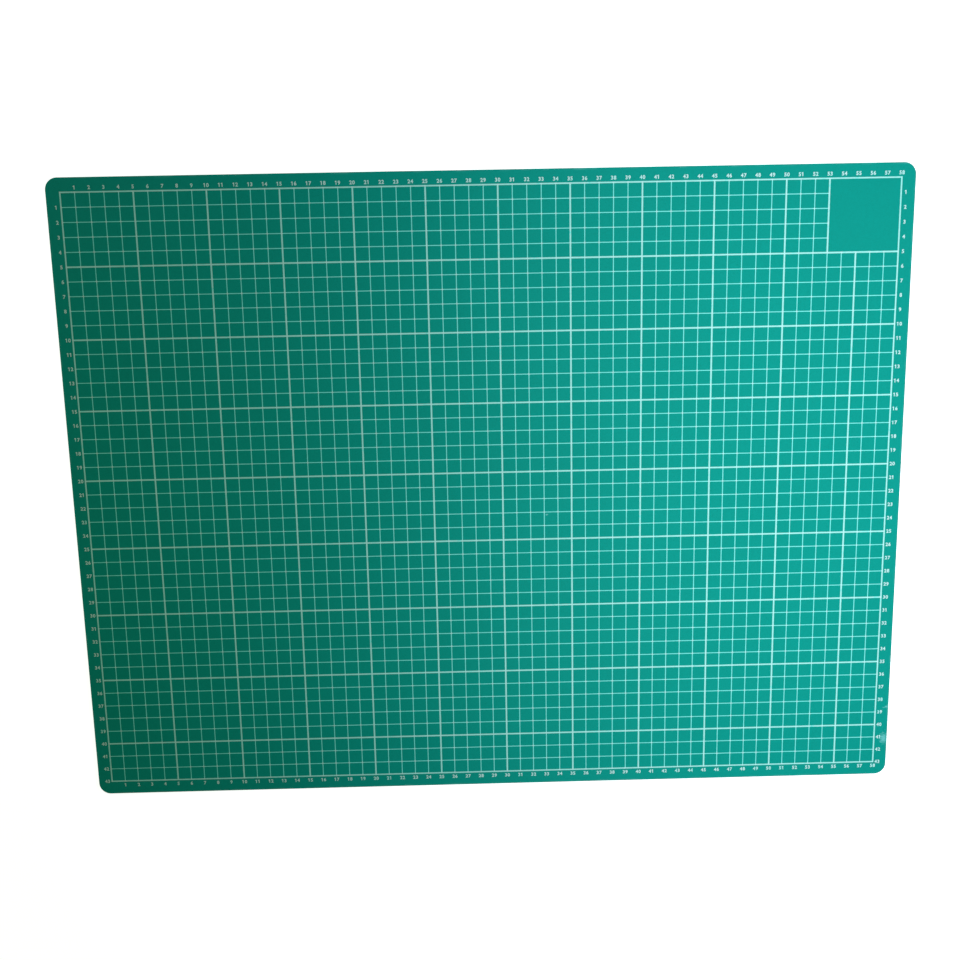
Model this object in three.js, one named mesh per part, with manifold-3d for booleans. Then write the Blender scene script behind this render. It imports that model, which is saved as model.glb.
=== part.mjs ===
// Self-healing cutting mat: five sheets welded into one flat laminate, with a centimetre grid
// screen-printed on the work face in two passes of ink.
// Millimetres, +Z up. The origin is the middle of the underside. +X runs along the long side, from the
// first printed column to the last, and +Y points to the edge where the printed rows start.
import * as THREE from "three";
import { mergeVertices } from "three/addons/utils/BufferGeometryUtils.js";
import Module from "manifold-3d";

const wasm = await Module();
wasm.setup();

// Printed grid
const SQUARE = 10; // one printed square, which is one centimetre
const COLUMNS = 58;
const ROWS = 43;
const HEAVY_EVERY = 5; // squares from one heavy line to the next
const FRAME_LINE = 1.0;
const HEAVY_LINE = 1.1;
const FINE_LINE = 0.6;
const INK_FILM = 0.04; // thickness of one pass of ink
const PANEL_COLUMNS = 5; // bare panel in the corner of the grid, in squares
const PANEL_ROWS = 5;

// Outline shared by all the sheets
const MARGIN = 10; // from the middle of the frame line to the mat's edge
const CORNER_RADIUS = 8.5;
const CORNER_STEPS = 10;

// Sheets, from the outside in
const FACE_SHEET = 0.8; // soft vinyl that closes up after a cut
const CUSHION_SHEET = 0.4; // softer vinyl that lets the blade sink in
const CORE_SHEET = 0.52; // hard vinyl that stops the blade and keeps the mat flat
const WELD_LINE = 0.02; // gap left between one sheet and the next
const RIM_RADIUS = 0.3; // roll-over that the cutting die leaves on the outer faces
const RIM_STEPS = 3;

const gridWidth = COLUMNS * SQUARE;
const gridLength = ROWS * SQUARE;
const matWidth = gridWidth + 2 * MARGIN;
const matLength = gridLength + 2 * MARGIN;
const panelColumn = COLUMNS - PANEL_COLUMNS;

const faceVinyl = new THREE.MeshStandardMaterial({ color: 0x069e8f, roughness: 0.55, metalness: 0 });
const cushionVinyl = new THREE.MeshStandardMaterial({ color: 0x95afa2, roughness: 0.45, metalness: 0 });
const coreVinyl = new THREE.MeshStandardMaterial({ color: 0xddded6, roughness: 0.5, metalness: 0 });
const whiteInk = new THREE.MeshStandardMaterial({ color: 0xc4f3ed, roughness: 0.6, metalness: 0 });

// A three.js geometry as a solid that can be joined and cut.
function toSolid(geometry) {
  geometry.deleteAttribute("normal");
  geometry.deleteAttribute("uv");
  const merged = mergeVertices(geometry);
  return new wasm.Manifold(
    new wasm.Mesh({
      numProp: 3,
      vertProperties: merged.attributes.position.array,
      triVerts: new Uint32Array(merged.index.array),
    }),
  );
}

// A joined or cut solid as a three.js geometry with flat shading.
function toGeometry(solid) {
  const { vertProperties, triVerts } = solid.getMesh();
  const indexed = new THREE.BufferGeometry();
  indexed.setAttribute("position", new THREE.BufferAttribute(vertProperties, 3));
  indexed.setIndex(new THREE.BufferAttribute(triVerts, 1));
  const geometry = indexed.toNonIndexed();
  geometry.computeVertexNormals();
  return geometry;
}

// The mat's outline: a rectangle with rounded corners, centred on the origin.
function matOutline() {
  const x = matWidth / 2 - CORNER_RADIUS;
  const y = matLength / 2 - CORNER_RADIUS;
  const quarter = Math.PI / 2;
  const outline = new THREE.Shape();
  outline.absarc(x, y, CORNER_RADIUS, 0, quarter);
  outline.absarc(-x, y, CORNER_RADIUS, quarter, 2 * quarter);
  outline.absarc(-x, -y, CORNER_RADIUS, 2 * quarter, 3 * quarter);
  outline.absarc(x, -y, CORNER_RADIUS, 3 * quarter, 4 * quarter);
  outline.closePath();
  return outline;
}

// An inner sheet: the outline with a square cut edge.
function innerSheet(thickness) {
  return new THREE.ExtrudeGeometry(matOutline(), {
    depth: thickness,
    bevelEnabled: false,
    curveSegments: CORNER_STEPS,
  });
}

// An outer sheet: a blank of twice the thickness with both its rims rolled over, and its lower half cut
// away, so that only the exposed face has the soft rim.
function outerSheet() {
  const rim = Math.min(RIM_RADIUS, FACE_SHEET);
  const blank = new THREE.ExtrudeGeometry(matOutline(), {
    depth: 2 * (FACE_SHEET - rim),
    bevelThickness: rim,
    bevelSize: rim,
    bevelOffset: -rim,
    bevelSegments: RIM_STEPS,
    curveSegments: CORNER_STEPS,
  });
  blank.translate(0, 0, rim - FACE_SHEET);
  const lowerHalf = new THREE.BoxGeometry(2 * matWidth, 2 * matLength, 2 * FACE_SHEET);
  lowerHalf.translate(0, 0, -FACE_SHEET);
  return toGeometry(toSolid(blank).subtract(toSolid(lowerHalf)));
}

// Places of the printed lines: columns count from the left, rows from the top.
const columnX = (column) => column * SQUARE - gridWidth / 2;
const rowY = (row) => gridLength / 2 - row * SQUARE;

// The width of a printed line by its number, where the first and the last belong to the frame.
function lineWidth(number, last) {
  if (number === 0 || number === last) return FRAME_LINE;
  return number % HEAVY_EVERY === 0 ? HEAVY_LINE : FINE_LINE;
}

// A window of bare sheet between two columns and two rows, clear of the printed lines on its four sides.
function openWindow([leftColumn, leftLine], [rightColumn, rightLine], [topRow, topLine], [lowRow, lowLine]) {
  return {
    left: columnX(leftColumn) + leftLine / 2,
    right: columnX(rightColumn) - rightLine / 2,
    top: rowY(topRow) - topLine / 2,
    bottom: rowY(lowRow) + lowLine / 2,
  };
}

// A film of ink: a plate as large as the frame with the windows cut out, so that the lines are left.
function inkFilm(windows) {
  let film = toSolid(new THREE.BoxGeometry(gridWidth + FRAME_LINE, gridLength + FRAME_LINE, INK_FILM));
  for (const { left, right, top, bottom } of windows) {
    const cut = new THREE.BoxGeometry(right - left, top - bottom, 2 * INK_FILM);
    cut.translate((left + right) / 2, (top + bottom) / 2, 0);
    film = film.subtract(toSolid(cut));
  }
  return toGeometry(film).translate(0, 0, INK_FILM / 2);
}

const columnLine = (column) => [column, lineWidth(column, COLUMNS)];
const rowLine = (row) => [row, lineWidth(row, ROWS)];
const panelSide = [panelColumn, HEAVY_LINE];
const panelFoot = [PANEL_ROWS, HEAVY_LINE];

// First pass: the frame and the upright lines, where those under the bare panel end at its foot.
function uprightLines() {
  const windows = [openWindow(columnLine(panelColumn), columnLine(COLUMNS), rowLine(0), panelFoot)];
  for (let column = 0; column < COLUMNS; column++) {
    const head = column < panelColumn ? rowLine(0) : panelFoot;
    windows.push(openWindow(columnLine(column), columnLine(column + 1), head, rowLine(ROWS)));
  }
  return inkFilm(windows);
}

// Second pass: the frame again and the cross lines, where those beside the bare panel end at its side.
function crossLines() {
  const windows = [openWindow(panelSide, columnLine(COLUMNS), rowLine(0), rowLine(PANEL_ROWS))];
  for (let row = 0; row < ROWS; row++) {
    const end = row < PANEL_ROWS ? panelSide : columnLine(COLUMNS);
    windows.push(openWindow(columnLine(0), end, rowLine(row), rowLine(row + 1)));
  }
  return inkFilm(windows);
}

function piece(name, geometry, material) {
  const mesh = new THREE.Mesh(geometry, material);
  mesh.name = name;
  return mesh;
}

// The laminate is stacked from the underside up, each sheet a weld line above the last. The back sheet is
// the same piece as the work sheet, turned over.
const mat = new THREE.Group();
const stack = [
  { mesh: piece("back_sheet", outerSheet(), faceVinyl), thickness: FACE_SHEET, turned: true },
  { mesh: piece("lower_cushion_sheet", innerSheet(CUSHION_SHEET), cushionVinyl), thickness: CUSHION_SHEET },
  { mesh: piece("core_sheet", innerSheet(CORE_SHEET), coreVinyl), thickness: CORE_SHEET },
  { mesh: piece("upper_cushion_sheet", innerSheet(CUSHION_SHEET), cushionVinyl), thickness: CUSHION_SHEET },
  { mesh: piece("work_sheet", outerSheet(), faceVinyl), thickness: FACE_SHEET },
];
let underside = 0;
let workFace = 0;
for (const { mesh, thickness, turned } of stack) {
  mesh.position.z = turned ? underside + thickness : underside;
  mesh.rotation.x = turned ? Math.PI : 0;
  mat.add(mesh);
  workFace = underside + thickness;
  underside = workFace + WELD_LINE;
}

// The print lies on the work face, the second pass over the first.
const firstPass = piece("upright_line_print", uprightLines(), whiteInk);
firstPass.position.z = workFace;
const secondPass = piece("cross_line_print", crossLines(), whiteInk);
secondPass.position.z = workFace + INK_FILM;
mat.add(firstPass, secondPass);

export default mat;
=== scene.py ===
"""Dresses a laminated cutting mat: vinyl faces, cut edges, white print and the numbers along its sides."""

import math

import bpy
from mathutils import Matrix, Vector


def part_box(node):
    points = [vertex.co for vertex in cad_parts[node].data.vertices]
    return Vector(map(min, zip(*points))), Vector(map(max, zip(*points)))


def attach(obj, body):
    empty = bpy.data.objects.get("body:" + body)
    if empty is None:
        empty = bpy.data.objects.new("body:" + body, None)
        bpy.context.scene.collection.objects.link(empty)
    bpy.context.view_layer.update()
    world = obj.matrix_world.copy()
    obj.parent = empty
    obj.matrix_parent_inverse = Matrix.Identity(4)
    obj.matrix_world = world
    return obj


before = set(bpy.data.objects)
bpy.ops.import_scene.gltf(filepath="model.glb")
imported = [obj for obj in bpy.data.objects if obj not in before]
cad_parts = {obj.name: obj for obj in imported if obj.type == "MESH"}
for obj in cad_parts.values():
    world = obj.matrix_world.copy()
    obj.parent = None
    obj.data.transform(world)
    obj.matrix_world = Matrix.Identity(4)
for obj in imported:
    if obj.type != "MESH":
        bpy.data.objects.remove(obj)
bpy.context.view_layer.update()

bl_info = {
    "name": "Cutting Mat",
    "version": (1, 0, 0),
    "blender": (4, 5, 0),
    "location": "3D View > Sidebar > Cutting Mat",
    "description": "Dresses the sheets and the print of a cutting mat, and sets a plain studio",
    "category": "Object",
}

BODY = "root"

SQUARE = 0.010  # one printed square
HEAVY_EVERY = 5  # squares from one heavy line to the next
PANEL_SQUARES = 5  # side of the bare panel in the corner of the grid
FRAME_LINE = 0.001  # width of the printed frame
HEAVY_LINE = 0.0011  # width of a heavy line

EDGE_X, EDGE_Y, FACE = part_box("work_sheet")[1]  # right edge, far edge and top of the work sheet
print_low, print_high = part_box("cross_line_print")
GRID_LEFT = print_low.x + FRAME_LINE / 2
GRID_RIGHT = print_high.x - FRAME_LINE / 2
GRID_BOTTOM = print_low.y + FRAME_LINE / 2
GRID_TOP = print_high.y - FRAME_LINE / 2
COLUMNS = round((GRID_RIGHT - GRID_LEFT) / SQUARE)
ROWS = round((GRID_TOP - GRID_BOTTOM) / SQUARE)
PANEL_LEFT = GRID_RIGHT - PANEL_SQUARES * SQUARE
PANEL_BOTTOM = GRID_TOP - PANEL_SQUARES * SQUARE

# Digits of the built-in font
DIGIT_HEIGHT = 0.69  # height of a digit at size 1
CURVE_STEPS = 3  # steps along each curve of a digit
MERGE_SHARE = 0.05  # share of the film's thickness within which two points are one
FLAT_ANGLE = math.radians(0.5)  # faces that meet at less than this are one face

# Flag of a 1, as shares of the digit's height
FLAG_FOOT = 0.78  # where the flag leaves the bar
FLAG_REACH = 0.20  # how far it goes out
FLAG_DROP = 0.14  # how far it goes down
FACING_LEFT = -0.9  # a face whose normal is below this along X faces left

# Spans of noise, from where a change starts to show to where it shows fully. A noise runs from 0 to 1.
NOISE_SPAN = (0.3, 0.7)  # where most of a noise lies
# Span of the grain noise over which its hollows take their painted shade
PIT_SHADE_SPAN = (0.5, 0.25)
RUB_SPAN = (0.5, 0.75)
MOTTLE_SPAN = (0.25, 0.75)
STRIPE_SPAN = (0.7, 1.3)  # of two noises added up
COVER_SPAN = (0.52, 0.72)  # of the streaks and a share of the pinholes added up

STROKE_STRETCH = (0.35, 1.0, 1.0)  # draws the strokes of a scuff out along X
STRIPE_STRETCH = (1.0, 1.0, 0.08)  # draws the stripes of a cut edge out along Z
SCUFF_HEART = 0.2  # share of its reach inside which a scuff is palest

WHITE = (1.0, 1.0, 1.0, 1.0)
SENSOR_WIDTH = 36.0  # width of the camera's frame, in millimetres


def length(name, description, default):
    return bpy.props.FloatProperty(
        name=name, description=description, default=default, unit="LENGTH", precision=5
    )


def share(name, description, default):
    return bpy.props.FloatProperty(
        name=name, description=description, default=default, subtype="FACTOR", min=0.0, max=1.0
    )


def colour(name, description, default):
    return bpy.props.FloatVectorProperty(
        name=name, description=description, default=default, subtype="COLOR", size=3, min=0.0, max=1.0
    )


def place(name, description, default):
    return bpy.props.FloatVectorProperty(
        name=name, description=description, default=default, subtype="TRANSLATION", unit="LENGTH", size=3
    )


def power(name, description, default):
    return bpy.props.FloatProperty(
        name=name, description=description, default=default, unit="POWER", min=0.0
    )


class VinylFinish(bpy.types.PropertyGroup):
    """Soft vinyl of the work sheet and the back sheet."""

    colour: colour("Vinyl", "Colour of the faces", (0.0020, 0.356, 0.286))
    deep: colour("Deep vinyl", "Darker patches of the faces", (0.0016, 0.330, 0.262))
    # Painted shade: the hollows of the pressed grain are coloured darker, as if shade lay in them
    pits: colour("Grain pits", "Bottom of the pressed grain", (0.0012, 0.266, 0.208))
    rubbed: colour("Rubbed vinyl", "Where the edge has rubbed on things", (0.10, 0.47, 0.41))
    scuffed: colour("Scuffed vinyl", "Where the faces are scraped pale", (0.17, 0.60, 0.56))
    roughness: share("Roughness", "Mean roughness of the faces", 0.58)
    roughness_swing: share("Roughness swing", "How far the roughness strays from its mean", 0.05)
    shine: share("Shine", "Strength of the reflection", 0.06)
    grain_size: length("Grain size", "Spacing of the pressed grain", 0.0004)
    grain_depth: length("Grain depth", "Height of the pressed grain", 0.00008)
    mottle_size: length("Mottle size", "Spacing of the coarser mottle in the grain", 0.0032)
    patch_size: length("Patch size", "Spacing of the faint darker patches", 0.09)
    patch_share: share("Patch share", "How much of the tone the patches give, against the mottle", 0.6)
    rub_width: length("Rub width", "How far wear reaches in from the edge", 0.0016)
    rub_size: length("Rub size", "Spacing of the rubbed places along the edge", 0.012)
    streak_place: place("Streak", "Middle of the short pale streak by the edge", (0.2981, -0.1710, FACE))
    streak_reach: place("Streak reach", "How far the streak goes each way", (0.0024, 0.0010, 0.001))
    scrape_place: place("Scrape", "Middle of the faint pale scrape by the edge", (0.2970, -0.1965, FACE))
    scrape_reach: place("Scrape reach", "How far the scrape goes each way", (0.0034, 0.0050, 0.001))
    nick_place: place("Nick", "Middle of the small nick that a blade left", (0.0418, -0.0170, FACE))
    nick_reach: place("Nick reach", "How far the nick goes each way", (0.0011, 0.0007, 0.001))
    scuff_strength: share("Scuff strength", "How pale the scuffs are", 0.9)
    stroke_size: length("Stroke size", "Spacing of the strokes that the scuffs are made of", 0.0009)
    stroke_swing: share("Stroke swing", "How ragged the strokes make the outline of a scuff", 0.6)


class PlyFinish(bpy.types.PropertyGroup):
    """Inner sheets, seen along the cut edge."""

    cushion: colour("Cushion", "Colour of the two soft inner sheets", (0.30, 0.43, 0.36))
    core: colour("Core", "Colour of the hard middle sheet", (0.72, 0.73, 0.67))
    shade: share("Shade", "How much of the colour is left in the darkest stripes", 0.8)
    roughness: share("Roughness", "Mean roughness of the cut edge", 0.5)
    roughness_swing: share("Roughness swing", "How far the roughness strays from its mean", 0.08)
    shine: share("Shine", "Strength of the reflection", 0.3)
    stripe_size: length("Stripe size", "Spacing of the stripes left by the cutting die", 0.0007)
    stripe_depth: length("Stripe depth", "Depth of those stripes", 0.00003)
    stain_size: length("Stain size", "Spacing of the faint stains on the edge", 0.03)


class PrintFinish(bpy.types.PropertyGroup):
    """White ink of the grid and the numbers."""

    ink: colour("Ink", "Colour of the lines", (0.44, 0.90, 0.82))
    thin: colour("Thin ink", "Where the vinyl shows through the print", (0.185, 0.90, 0.81))
    full: colour("Full ink", "Thickest ink, in the numbers and where two lines cross", (0.67, 0.90, 0.86))
    full_reach: length("Full ink reach", "How far the thickest ink spreads from a crossing", 0.0012)
    fine_cover: share("Fine line cover", "How full the ink is on the fine lines", 0.2)
    streak_size: length("Streak size", "Spacing of the thin streaks in the ink", 0.004)
    pinhole_share: share("Pinhole share", "How much the pinholes thin the ink, against the streaks", 0.6)
    roughness: share("Roughness", "Mean roughness of the ink", 0.55)
    roughness_swing: share("Roughness swing", "How far the roughness strays from its mean", 0.06)
    shine: share("Shine", "Strength of the reflection", 0.15)
    grain_share: share("Grain share", "How much of the vinyl's grain shows in the ink", 0.5)
    film: length("Film", "Thickness of the ink of the numbers", 0.00004)
    number_height: length("Number height", "Height of the digits", 0.0024)
    number_weight: length("Number weight", "Added to each side of a stroke", 0.00012)
    number_step: length("Number step", "From one digit of a number to the next", 0.0020)
    row_clear: length("Row clearance", "From the frame to the middle of the top and bottom numbers", 0.0031)
    side_clear: length("Side clearance", "From the frame to the middle of the side numbers", 0.0034)


class StageSetup(bpy.types.PropertyGroup):
    """Plain pale floor, soft lamps and the camera."""

    floor_size: length("Floor size", "Side of the square floor", 8.0)
    floor_drop: length("Floor drop", "Gap that keeps the floor off the underside", 0.0001)
    floor_colour: colour("Floor", "Colour of the floor", (0.8, 0.8, 0.8))
    floor_glow: share("Floor glow", "White that the camera sees on the floor by the mat", 0.87)
    glow_start: length("Glow start", "Distance from the middle where the floor starts to whiten", 0.4)
    glow_end: length("Glow end", "Distance from the middle where the floor is all white", 1.0)
    ambient: share("Ambient", "Even light from all round", 0.045)
    key_place: place("Key lamp", "Where the large cool lamp hangs", (0.38, 0.03, 0.40))
    key_aim: place("Key aim", "Point that the large lamp is turned to", (0.54, 0.03, 0.0))
    key_size: length("Key size", "Side of the large lamp", 0.8)
    key_power: power("Key power", "Power of the large lamp", 3.9)
    key_colour: colour("Key colour", "Colour of the large lamp", (0.77, 0.91, 1.0))
    fill_place: place("Fill lamp", "Where the weak green lamp hangs", (-0.32, -0.03, 0.55))
    fill_aim: place("Fill aim", "Point that the weak lamp is turned to", (-0.32, -0.03, 0.0))
    fill_size: length("Fill size", "Side of the weak lamp", 0.5)
    fill_power: power("Fill power", "Power of the weak lamp", 0.55)
    fill_colour: colour("Fill colour", "Colour of the weak lamp", (0.64, 0.95, 0.42))
    back_place: place("Back lamp", "Where the low lamp for the far edges stands", (-0.72, 0.64, 0.14))
    back_aim: place("Back aim", "Point that the low lamp is turned to", (-0.22, 0.16, 0.0))
    back_size: length("Back size", "Side of the low lamp", 0.26)
    back_power: power("Back power", "Power of the low lamp", 1.6)
    back_colour: colour("Back colour", "Colour of the low lamp", (0.96, 0.98, 1.0))
    camera_place: place("Camera", "Where the camera stands", (-0.0130, 0.0971, 0.6032))
    camera_aim: place("Aim", "Point on the floor in the middle of the picture", (-0.0063, 0.0092, 0.0))
    camera_roll: bpy.props.FloatProperty(
        name="Roll",
        description="Tilt of the camera about its own axis",
        default=math.radians(-1.18),
        unit="ROTATION",
    )
    camera_lens: bpy.props.FloatProperty(
        name="Lens", description="Focal length on a 36 mm frame", default=31.43, unit="CAMERA"
    )


def new_finish(name, roughness, shine):
    """A material with a plain shader, and its tree and shader."""
    material = bpy.data.materials.new(name)
    material.use_nodes = True
    tree = material.node_tree
    shader = tree.nodes["Principled BSDF"]
    shader.inputs["Roughness"].default_value = roughness
    shader.inputs["Specular IOR Level"].default_value = shine
    return material, tree, shader


def add_node(tree, kind, sockets, **settings):
    """A node with its settings, whose sockets take numbers or the outputs of other nodes."""
    node = tree.nodes.new(kind)
    for name, value in settings.items():
        setattr(node, name, value)
    for key, value in sockets.items():
        if isinstance(value, bpy.types.NodeSocket):
            tree.links.new(value, node.inputs[key])
        else:
            node.inputs[key].default_value = value
    return node


def surface_place(tree):
    return add_node(tree, "ShaderNodeTexCoord", {}).outputs["Object"]


def noise(tree, where, spacing, detail=2.0):
    node = add_node(tree, "ShaderNodeTexNoise", {"Vector": where, "Scale": 1 / spacing, "Detail": detail})
    return node.outputs["Fac"]


def remap(tree, value, start, end, low=0.0, high=1.0):
    sockets = {"Value": value, "From Min": start, "From Max": end, "To Min": low, "To Max": high}
    return add_node(tree, "ShaderNodeMapRange", sockets).outputs["Result"]


def combine(tree, operation, first, second):
    return add_node(tree, "ShaderNodeMath", {0: first, 1: second}, operation=operation).outputs[0]


def combine_vectors(tree, operation, first, second):
    node = add_node(tree, "ShaderNodeVectorMath", {0: first, 1: second}, operation=operation)
    return node.outputs["Vector"]


def vector_length(tree, vector):
    return add_node(tree, "ShaderNodeVectorMath", {0: vector}, operation="LENGTH").outputs["Value"]


def blend_colours(tree, amount, first, second):
    """A colour between two, which may be plain colours or outputs."""
    node = tree.nodes.new("ShaderNodeMix")
    node.data_type = "RGBA"
    tree.links.new(amount, node.inputs["Factor"])
    for socket, value in ((node.inputs[6], first), (node.inputs[7], second)):
        if isinstance(value, bpy.types.NodeSocket):
            tree.links.new(value, socket)
        else:
            socket.default_value = (*value, 1.0)
    return node.outputs[2]


def vary_roughness(tree, shader, change, span, finish):
    """Lets the roughness stray to both sides of its mean as a noise changes."""
    low = finish.roughness - finish.roughness_swing
    high = finish.roughness + finish.roughness_swing
    tree.links.new(remap(tree, change, *span, low, high), shader.inputs["Roughness"])


def add_bump(tree, shader, height, depth):
    node = add_node(tree, "ShaderNodeBump", {"Height": height, "Distance": depth})
    tree.links.new(node.outputs["Normal"], shader.inputs["Normal"])


def edge_nearness(tree, where, reach):
    """From 0 inside the mat to 1 at its edge, over the last stretch of the face."""
    outward = add_node(tree, "ShaderNodeVectorMath", {0: where}, operation="ABSOLUTE").outputs["Vector"]
    sides = add_node(tree, "ShaderNodeSeparateXYZ", {"Vector": outward})
    across = remap(tree, sides.outputs["X"], EDGE_X - reach, EDGE_X)
    along = remap(tree, sides.outputs["Y"], EDGE_Y - reach, EDGE_Y)
    return combine(tree, "MAXIMUM", across, along)


def scuff(tree, where, middle, reach, strokes):
    """From 1 in the middle of a scuff to 0 outside its ragged outline, with a reach along each axis."""
    aside = combine_vectors(tree, "DIVIDE", combine_vectors(tree, "SUBTRACT", where, middle), reach)
    way_out = combine(tree, "ADD", vector_length(tree, aside), strokes)
    return remap(tree, way_out, 1.0, SCUFF_HEART)


def add_scuffs(tree, where, green, scuffs, finish):
    """The green with pale scuffs on it, each given by its middle and its reach."""
    drawn_out = combine_vectors(tree, "MULTIPLY", where, STROKE_STRETCH)
    ragged = noise(tree, drawn_out, finish.stroke_size, detail=4.0)
    strokes = remap(tree, ragged, *NOISE_SPAN, -finish.stroke_swing, finish.stroke_swing)
    for middle, reach in scuffs:
        scraped = scuff(tree, where, middle, reach, strokes)
        pale = combine(tree, "MULTIPLY", scraped, finish.scuff_strength)
        green = blend_colours(tree, pale, green, finish.scuffed)
    return green


def vinyl_finish(finish, name, scuffs):
    """Matt green vinyl with a fine pressed grain with painted shade in its hollows, faint patches, a rubbed
    edge and pale scuffs.
    """
    material, tree, shader = new_finish(name, finish.roughness, finish.shine)
    where = surface_place(tree)
    grain = noise(tree, where, finish.grain_size, detail=3.0)
    mottle = noise(tree, where, finish.mottle_size, detail=4.0)
    patches = remap(tree, noise(tree, where, finish.patch_size), *NOISE_SPAN)
    broad_tone = combine(tree, "MULTIPLY", patches, finish.patch_share)
    close_tone = combine(tree, "MULTIPLY", mottle, 1.0 - finish.patch_share)
    green = blend_colours(tree, combine(tree, "ADD", broad_tone, close_tone), finish.deep, finish.colour)
    # Painted shade: darker colour in the hollows of the grain
    green = blend_colours(tree, remap(tree, grain, *PIT_SHADE_SPAN), green, finish.pits)
    if scuffs:
        green = add_scuffs(tree, where, green, scuffs, finish)
    rubs = remap(tree, noise(tree, where, finish.rub_size, detail=3.0), *RUB_SPAN)
    wear = combine(tree, "MULTIPLY", edge_nearness(tree, where, finish.rub_width), rubs)
    tree.links.new(blend_colours(tree, wear, green, finish.rubbed), shader.inputs["Base Color"])
    vary_roughness(tree, shader, mottle, MOTTLE_SPAN, finish)
    add_bump(tree, shader, combine(tree, "ADD", grain, mottle), finish.grain_depth)
    return material


def ply_finish(finish, name, base):
    """A cut edge with the fine upright stripes that the die leaves."""
    material, tree, shader = new_finish(name, finish.roughness, finish.shine)
    where = surface_place(tree)
    upright = combine_vectors(tree, "MULTIPLY", where, STRIPE_STRETCH)
    stripes = noise(tree, upright, finish.stripe_size, detail=3.0)
    stains = noise(tree, where, finish.stain_size, detail=3.0)
    dark = tuple(finish.shade * part for part in base)
    tone = remap(tree, combine(tree, "ADD", stripes, stains), *STRIPE_SPAN)
    tree.links.new(blend_colours(tree, tone, dark, base), shader.inputs["Base Color"])
    vary_roughness(tree, shader, stripes, NOISE_SPAN, finish)
    add_bump(tree, shader, stripes, finish.stripe_depth)
    return material


def from_lines(tree, along, first_line, spacing):
    """Distance to the nearest of the lines that repeat at a spacing."""
    return combine(tree, "PINGPONG", combine(tree, "SUBTRACT", along, first_line), spacing / 2)


def on_line(tree, along, line, width):
    """1 on a single line, 0 beside it."""
    sockets = {0: along, 1: line, 2: width / 2}
    return add_node(tree, "ShaderNodeMath", sockets, operation="COMPARE").outputs[0]


def heavy_lines(tree, x, y):
    """1 on the heavy lines, on the frame and on the side of the bare panel, 0 on the fine lines."""
    heavy_step = HEAVY_EVERY * SQUARE
    upright = combine(tree, "LESS_THAN", from_lines(tree, x, GRID_LEFT, heavy_step), HEAVY_LINE / 2)
    across = combine(tree, "LESS_THAN", from_lines(tree, y, GRID_TOP, heavy_step), HEAVY_LINE / 2)
    last_column = on_line(tree, x, GRID_RIGHT, FRAME_LINE)
    last_row = on_line(tree, y, GRID_BOTTOM, FRAME_LINE)
    above_foot = combine(tree, "GREATER_THAN", y, PANEL_BOTTOM)
    panel_side = combine(tree, "MULTIPLY", on_line(tree, x, PANEL_LEFT, HEAVY_LINE), above_foot)
    heavy = upright
    for line in (across, last_column, last_row, panel_side):
        heavy = combine(tree, "MAXIMUM", heavy, line)
    return heavy


def line_crossings(tree, x, y, reach):
    """From 1 where two lines cross to 0 at a reach from there, with no crossings on the bare panel."""
    aside = {"X": from_lines(tree, x, GRID_LEFT, SQUARE), "Y": from_lines(tree, y, GRID_TOP, SQUARE)}
    away = vector_length(tree, add_node(tree, "ShaderNodeCombineXYZ", aside).outputs["Vector"])
    left_of_panel = combine(tree, "LESS_THAN", x, PANEL_LEFT + SQUARE / 2)
    below_panel = combine(tree, "LESS_THAN", y, PANEL_BOTTOM + SQUARE / 2)
    off_panel = combine(tree, "MAXIMUM", left_of_panel, below_panel)
    return combine(tree, "MULTIPLY", remap(tree, away, reach, 0.0), off_panel)


def line_white(tree, where, cover, finish):
    """White of the lines, which is thinner on the fine ones and full where two of them cross."""
    sides = add_node(tree, "ShaderNodeSeparateXYZ", {"Vector": where})
    x = sides.outputs["X"]
    y = sides.outputs["Y"]
    weight = remap(tree, heavy_lines(tree, x, y), 0.0, 1.0, finish.fine_cover, 1.0)
    white = blend_colours(tree, combine(tree, "MULTIPLY", cover, weight), finish.thin, finish.ink)
    return blend_colours(tree, line_crossings(tree, x, y, finish.full_reach), white, finish.full)


def ink_finish(finish, vinyl, name, has_lines):
    """Screen-printed ink: white, thin in places, with the grain of the vinyl in it."""
    material, tree, shader = new_finish(name, finish.roughness, finish.shine)
    where = surface_place(tree)
    streaks = noise(tree, where, finish.streak_size, detail=4.0)
    pinholes = noise(tree, where, vinyl.grain_size)
    small_holes = combine(tree, "MULTIPLY", pinholes, finish.pinhole_share)
    cover = remap(tree, combine(tree, "ADD", streaks, small_holes), *COVER_SPAN)
    if has_lines:
        white = line_white(tree, where, cover, finish)
    else:
        white = blend_colours(tree, cover, finish.thin, finish.full)
    tree.links.new(white, shader.inputs["Base Color"])
    vary_roughness(tree, shader, streaks, NOISE_SPAN[::-1], finish)
    add_bump(tree, shader, pinholes, finish.grain_share * vinyl.grain_depth)
    return material


def dress(node, material):
    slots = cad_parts[node].data.materials
    slots.clear()
    slots.append(material)


def select_only(*pieces):
    bpy.ops.object.select_all(action="DESELECT")
    for piece in pieces:
        piece.select_set(True)
    bpy.context.view_layer.objects.active = pieces[-1]


def add_flag(height):
    """Gives the plain bar of a 1 its flag: the upper part of its left side is drawn out and down."""
    bar = bpy.context.object
    foot = FLAG_FOOT * height
    bpy.ops.object.mode_set(mode="EDIT")
    bpy.ops.mesh.select_all(action="SELECT")
    bpy.ops.mesh.bisect(plane_co=(0.0, foot, 0.0), plane_no=(0.0, 1.0, 0.0))
    bpy.ops.mesh.select_all(action="DESELECT")
    bpy.ops.object.mode_set(mode="OBJECT")
    for face in bar.data.polygons:
        face.select = face.normal.x < FACING_LEFT and face.center.y > foot
    bpy.ops.object.mode_set(mode="EDIT")
    bpy.ops.mesh.select_mode(type="FACE")
    drawn_out = {"value": (-FLAG_REACH * height, -FLAG_DROP * height, 0.0)}
    bpy.ops.mesh.extrude_region_move(TRANSFORM_OT_translate=drawn_out)
    bpy.ops.object.mode_set(mode="OBJECT")


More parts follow.
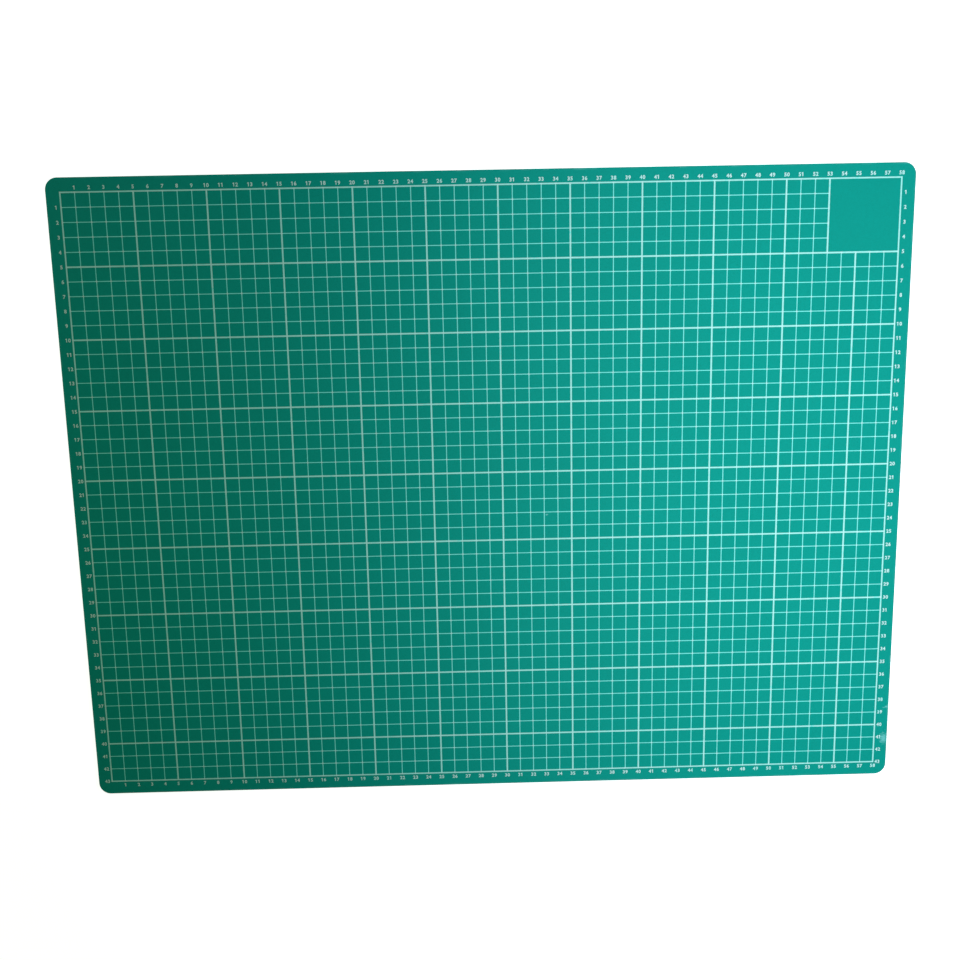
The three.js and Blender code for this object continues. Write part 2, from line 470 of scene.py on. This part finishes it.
def model_digit(digit, finish):
    """One digit as a thin film of ink, standing on the origin."""
    bpy.ops.object.select_all(action="DESELECT")
    bpy.ops.object.text_add()
    text = bpy.context.object
    text.data.body = str(digit)
    text.data.align_x = "CENTER"
    text.data.size = finish.number_height / DIGIT_HEIGHT
    text.data.extrude = finish.film / 2
    text.data.offset = finish.number_weight
    text.data.resolution_u = CURVE_STEPS
    bpy.ops.object.convert(target="MESH")
    bpy.ops.object.mode_set(mode="EDIT")
    bpy.ops.mesh.select_all(action="SELECT")
    bpy.ops.mesh.remove_doubles(threshold=MERGE_SHARE * finish.film)
    bpy.ops.mesh.dissolve_limited(angle_limit=FLAT_ANGLE)
    bpy.ops.mesh.normals_make_consistent(inside=False)
    bpy.ops.object.mode_set(mode="OBJECT")
    if digit == 1:
        add_flag(finish.number_height)
    return text


def copy_digit(master, where):
    select_only(master)
    bpy.ops.object.duplicate(linked=False)
    bpy.ops.transform.translate(value=where)
    return bpy.context.object


def write_number(number, digits, x, y, finish):
    """Copies of the digits of a number, side by side and centred on a point of the face."""
    written = str(number)
    left = x - finish.number_step * (len(written) - 1) / 2
    foot = y - finish.number_height / 2
    level = FACE + finish.film / 2
    return [
        copy_digit(digits[int(digit)], (left + k * finish.number_step, foot, level))
        for k, digit in enumerate(written)
    ]


def join_numbers(name, copies, ink):
    select_only(*copies)
    bpy.ops.object.join()
    row = bpy.context.object
    row.name = name
    row.data.name = name
    bpy.ops.object.transform_apply(location=True, rotation=True, scale=True)
    row.data.materials.clear()
    row.data.materials.append(ink)
    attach(row, BODY)


class CUTTINGMAT_OT_dress_faces(bpy.types.Operator):
    """Give the work sheet and the back sheet their green vinyl"""

    bl_idname = "cutting_mat.dress_faces"
    bl_label = "Dress Faces"

    def execute(self, context):
        finish = context.scene.mat_vinyl
        scuffs = [
            (finish.streak_place, finish.streak_reach),
            (finish.scrape_place, finish.scrape_reach),
            (finish.nick_place, finish.nick_reach),
        ]
        dress("work_sheet", vinyl_finish(finish, "work_vinyl", scuffs))
        dress("back_sheet", vinyl_finish(finish, "back_vinyl", []))
        return {"FINISHED"}


class CUTTINGMAT_OT_dress_plies(bpy.types.Operator):
    """Give the inner sheets their cut edges"""

    bl_idname = "cutting_mat.dress_plies"
    bl_label = "Dress Inner Sheets"

    def execute(self, context):
        finish = context.scene.mat_plies
        cushion = ply_finish(finish, "cushion_vinyl", finish.cushion)
        dress("upper_cushion_sheet", cushion)
        dress("lower_cushion_sheet", cushion)
        dress("core_sheet", ply_finish(finish, "core_vinyl", finish.core))
        return {"FINISHED"}


class CUTTINGMAT_OT_dress_print(bpy.types.Operator):
    """Give the printed lines their ink"""

    bl_idname = "cutting_mat.dress_print"
    bl_label = "Dress Print"

    def execute(self, context):
        ink = ink_finish(context.scene.mat_print, context.scene.mat_vinyl, "line_ink", True)
        dress("upright_line_print", ink)
        dress("cross_line_print", ink)
        return {"FINISHED"}


class CUTTINGMAT_OT_add_numbers(bpy.types.Operator):
    """Print the numbers along the four sides of the grid"""

    bl_idname = "cutting_mat.add_numbers"
    bl_label = "Add Numbers"

    def execute(self, context):
        finish = context.scene.mat_print
        ink = ink_finish(finish, context.scene.mat_vinyl, "number_ink", False)
        digits = [model_digit(digit, finish) for digit in range(10)]
        columns = [(number, GRID_LEFT + number * SQUARE) for number in range(1, COLUMNS + 1)]
        rows = [(number, GRID_TOP - number * SQUARE) for number in range(1, ROWS + 1)]
        top = GRID_TOP + finish.row_clear
        bottom = GRID_BOTTOM - finish.row_clear
        left = GRID_LEFT - finish.side_clear
        right = GRID_RIGHT + finish.side_clear
        sides = {
            "numbers_top": [(number, x, top) for number, x in columns],
            "numbers_bottom": [(number, x, bottom) for number, x in columns],
            "numbers_left": [(number, left, y) for number, y in rows],
            "numbers_right": [(number, right, y) for number, y in rows],
        }
        for name, numbers in sides.items():
            copies = []
            for number, x, y in numbers:
                copies += write_number(number, digits, x, y, finish)
            join_numbers(name, copies, ink)
        select_only(*digits)
        bpy.ops.object.delete()
        return {"FINISHED"}


def seen_directly(tree):
    """1 for the camera and for what shiny and clear surfaces show, 0 for the light that falls on things."""
    path = add_node(tree, "ShaderNodeLightPath", {})
    shiny = combine(tree, "MAXIMUM", path.outputs["Is Camera Ray"], path.outputs["Is Glossy Ray"])
    return combine(tree, "MAXIMUM", shiny, path.outputs["Is Transmission Ray"])


def floor_finish(stage):
    """Pale paint that takes the mat's shadow, and that is seen whiter the further it is from the mat."""
    material = bpy.data.materials.new("pale_floor")
    material.use_nodes = True
    tree = material.node_tree
    tree.nodes.clear()
    paint = add_node(tree, "ShaderNodeBsdfDiffuse", {"Color": (*stage.floor_colour, 1.0)})
    away = vector_length(tree, surface_place(tree))
    white = remap(tree, away, stage.glow_start, stage.glow_end, stage.floor_glow, 1.0)
    strength = combine(tree, "MULTIPLY", seen_directly(tree), white)
    glow = add_node(tree, "ShaderNodeEmission", {"Color": WHITE, "Strength": strength})
    both = add_node(tree, "ShaderNodeAddShader", {0: paint.outputs[0], 1: glow.outputs[0]})
    add_node(tree, "ShaderNodeOutputMaterial", {"Surface": both.outputs[0]})
    return material


def set_world(stage):
    """White all round where it is seen, and a weak even light on the mat."""
    world = bpy.data.worlds.new("studio")
    world.use_nodes = True
    tree = world.node_tree
    strength = remap(tree, seen_directly(tree), 0.0, 1.0, stage.ambient, 1.0)
    sky = tree.nodes["Background"]
    sky.inputs["Color"].default_value = WHITE
    tree.links.new(strength, sky.inputs["Strength"])
    bpy.context.scene.world = world


def hang_lamp(stage, kind):
    """One soft lamp, with the place, aim, size, power and colour that the stage holds for its kind."""
    where = Vector(getattr(stage, f"{kind}_place"))
    aim = Vector(getattr(stage, f"{kind}_aim"))
    bpy.ops.object.light_add(type="AREA", location=where)
    lamp = bpy.context.object
    lamp.name = f"{kind}_lamp"
    lamp.rotation_euler = (aim - where).to_track_quat("-Z", "Y").to_euler()
    lamp.data.size = getattr(stage, f"{kind}_size")
    lamp.data.energy = getattr(stage, f"{kind}_power")
    lamp.data.color = getattr(stage, f"{kind}_colour")


def stand_camera(stage):
    """The camera looks down at the mat, with the mat's far side at the top of the picture."""
    bpy.ops.object.camera_add(location=stage.camera_place)
    camera = bpy.context.object
    far_side = Vector((0.0, 1.0, 0.0))
    back = (Vector(stage.camera_place) - Vector(stage.camera_aim)).normalized()
    right = far_side.cross(back).normalized()
    upward = back.cross(right)
    turn = Matrix((right, upward, back)).transposed() @ Matrix.Rotation(stage.camera_roll, 3, "Z")
    camera.rotation_euler = turn.to_euler()
    camera.data.lens = stage.camera_lens
    camera.data.sensor_width = SENSOR_WIDTH
    bpy.context.scene.camera = camera


class CUTTINGMAT_OT_set_stage(bpy.types.Operator):
    """Lay the floor, hang the lamps and stand the camera"""

    bl_idname = "cutting_mat.set_stage"
    bl_label = "Set Stage"

    def execute(self, context):
        stage = context.scene.mat_stage
        bpy.ops.object.select_all(action="DESELECT")
        bpy.ops.mesh.primitive_plane_add(size=stage.floor_size, location=(0.0, 0.0, -stage.floor_drop))
        floor = context.object
        floor.name = "floor"
        floor.data.materials.append(floor_finish(stage))
        set_world(stage)
        for kind in ("key", "fill", "back"):
            hang_lamp(stage, kind)
        stand_camera(stage)
        context.scene.view_settings.view_transform = "Standard"
        return {"FINISHED"}


class VIEW3D_PT_cutting_mat(bpy.types.Panel):
    """Lists the steps that dress the mat"""

    bl_label = "Cutting Mat"
    bl_space_type = "VIEW_3D"
    bl_region_type = "UI"
    bl_category = "Cutting Mat"

    def draw(self, context):
        for step in STEPS:
            self.layout.operator(step.bl_idname)


FINISHES = {
    "mat_vinyl": VinylFinish,
    "mat_plies": PlyFinish,
    "mat_print": PrintFinish,
    "mat_stage": StageSetup,
}
STEPS = (
    CUTTINGMAT_OT_dress_faces,
    CUTTINGMAT_OT_dress_plies,
    CUTTINGMAT_OT_dress_print,
    CUTTINGMAT_OT_add_numbers,
    CUTTINGMAT_OT_set_stage,
)
CLASSES = (*FINISHES.values(), *STEPS, VIEW3D_PT_cutting_mat)


def register():
    for kind in CLASSES:
        bpy.utils.register_class(kind)
    for name, kind in FINISHES.items():
        setattr(bpy.types.Scene, name, bpy.props.PointerProperty(type=kind))


def unregister():
    for name in FINISHES:
        delattr(bpy.types.Scene, name)
    for kind in reversed(CLASSES):
        bpy.utils.unregister_class(kind)


def main():
    register()
    bpy.ops.cutting_mat.dress_faces()
    bpy.ops.cutting_mat.dress_plies()
    bpy.ops.cutting_mat.dress_print()
    bpy.ops.cutting_mat.add_numbers()
    bpy.ops.cutting_mat.set_stage()


if __name__ == "__main__":
    main()
